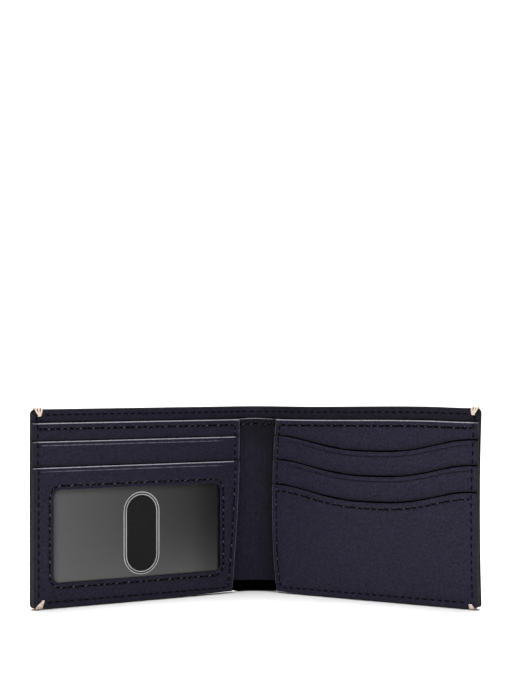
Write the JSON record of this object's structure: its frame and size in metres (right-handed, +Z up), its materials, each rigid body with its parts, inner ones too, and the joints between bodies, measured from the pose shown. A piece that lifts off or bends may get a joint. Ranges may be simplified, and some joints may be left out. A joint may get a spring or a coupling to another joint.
{
  "type": "bifold wallet",
  "caption": "Leather bifold wallet standing open on its long edge: card pockets, an identity card window with a thumb slot, a bill divider and pale corner tacks, on two fold hinges.",
  "frame": {"origin": "The foot of the spine on the resting plane, midway between the two fold axes, on the middle of the exterior leather", "axes": "+Z up along the spine, +X toward the right cover for someone facing the inside of the wallet, -Y toward that person, out of the open inside"},
  "size_m": [0.202, 0.0568, 0.0895],
  "materials": {
    "exterior_leather": "smooth fine-grain navy leather, satin, painted edges",
    "divider_leather": "smooth navy leather, satin",
    "pocket_leather": "smooth navy leather, satin, burnished pocket edges",
    "lining_cloth": "thin black woven cloth",
    "stiffener_board": "bonded leather-fibre board, hidden",
    "clear_film": "clear flexible film, glossy",
    "welded_rim": "clear film, pressed and welded, glossy",
    "thread": "dark navy sewing thread",
    "tack_thread": "thick pale tan thread, waxed"
  },
  "bodies": {
    "spine": {"exterior_spine": "exterior_leather", "exterior_lining_spine": "lining_cloth", "divider_spine": "divider_leather", "divider_lining_spine": "lining_cloth", "thread_hem_spine": "thread", "thread_divider_spine": "thread", "thread_outer_spine": "thread"},
    "left_cover": {"exterior_left": "exterior_leather", "stiffener_left": "stiffener_board", "exterior_lining_left": "lining_cloth", "divider_left": "divider_leather", "divider_lining_left": "lining_cloth", "panel_left": "pocket_leather", "card_pocket_left": "pocket_leather", "id_pocket_back": "lining_cloth", "id_window_lining": "lining_cloth", "id_window_film": "clear_film", "id_thumb_rim": "welded_rim", "id_window_frame": "pocket_leather", "corner_tack_top_left": "tack_thread", "corner_tack_bottom_left": "tack_thread", "thread_hem_left": "thread", "thread_divider_left": "thread", "thread_perimeter_left": "thread", "thread_panel_edge_left": "thread", "thread_window": "thread", "thread_outer_left": "thread"},
    "right_cover": {"exterior_right": "exterior_leather", "stiffener_right": "stiffener_board", "exterior_lining_right": "lining_cloth", "divider_right": "divider_leather", "divider_lining_right": "lining_cloth", "panel_right": "pocket_leather", "card_pocket_upper": "pocket_leather", "card_pocket_middle": "pocket_leather", "card_pocket_front": "pocket_leather", "corner_tack_top_right": "tack_thread", "corner_tack_bottom_right": "tack_thread", "thread_hem_right": "thread", "thread_divider_right": "thread", "thread_perimeter_right": "thread", "thread_panel_edge_right": "thread", "thread_front_pocket": "thread", "thread_outer_right": "thread"}
  },
  "joints": [
    {"name": "left_fold", "type": "hinge", "parent": "spine", "child": "left_cover", "pos_m": [-0.006, 0, 0], "axis": [0, 0, 1], "range_deg": [-29, 61]},
    {"name": "right_fold", "type": "hinge", "parent": "spine", "child": "right_cover", "pos_m": [0.006, 0, 0], "axis": [0, 0, -1], "range_deg": [-29, 61]}
  ]
}
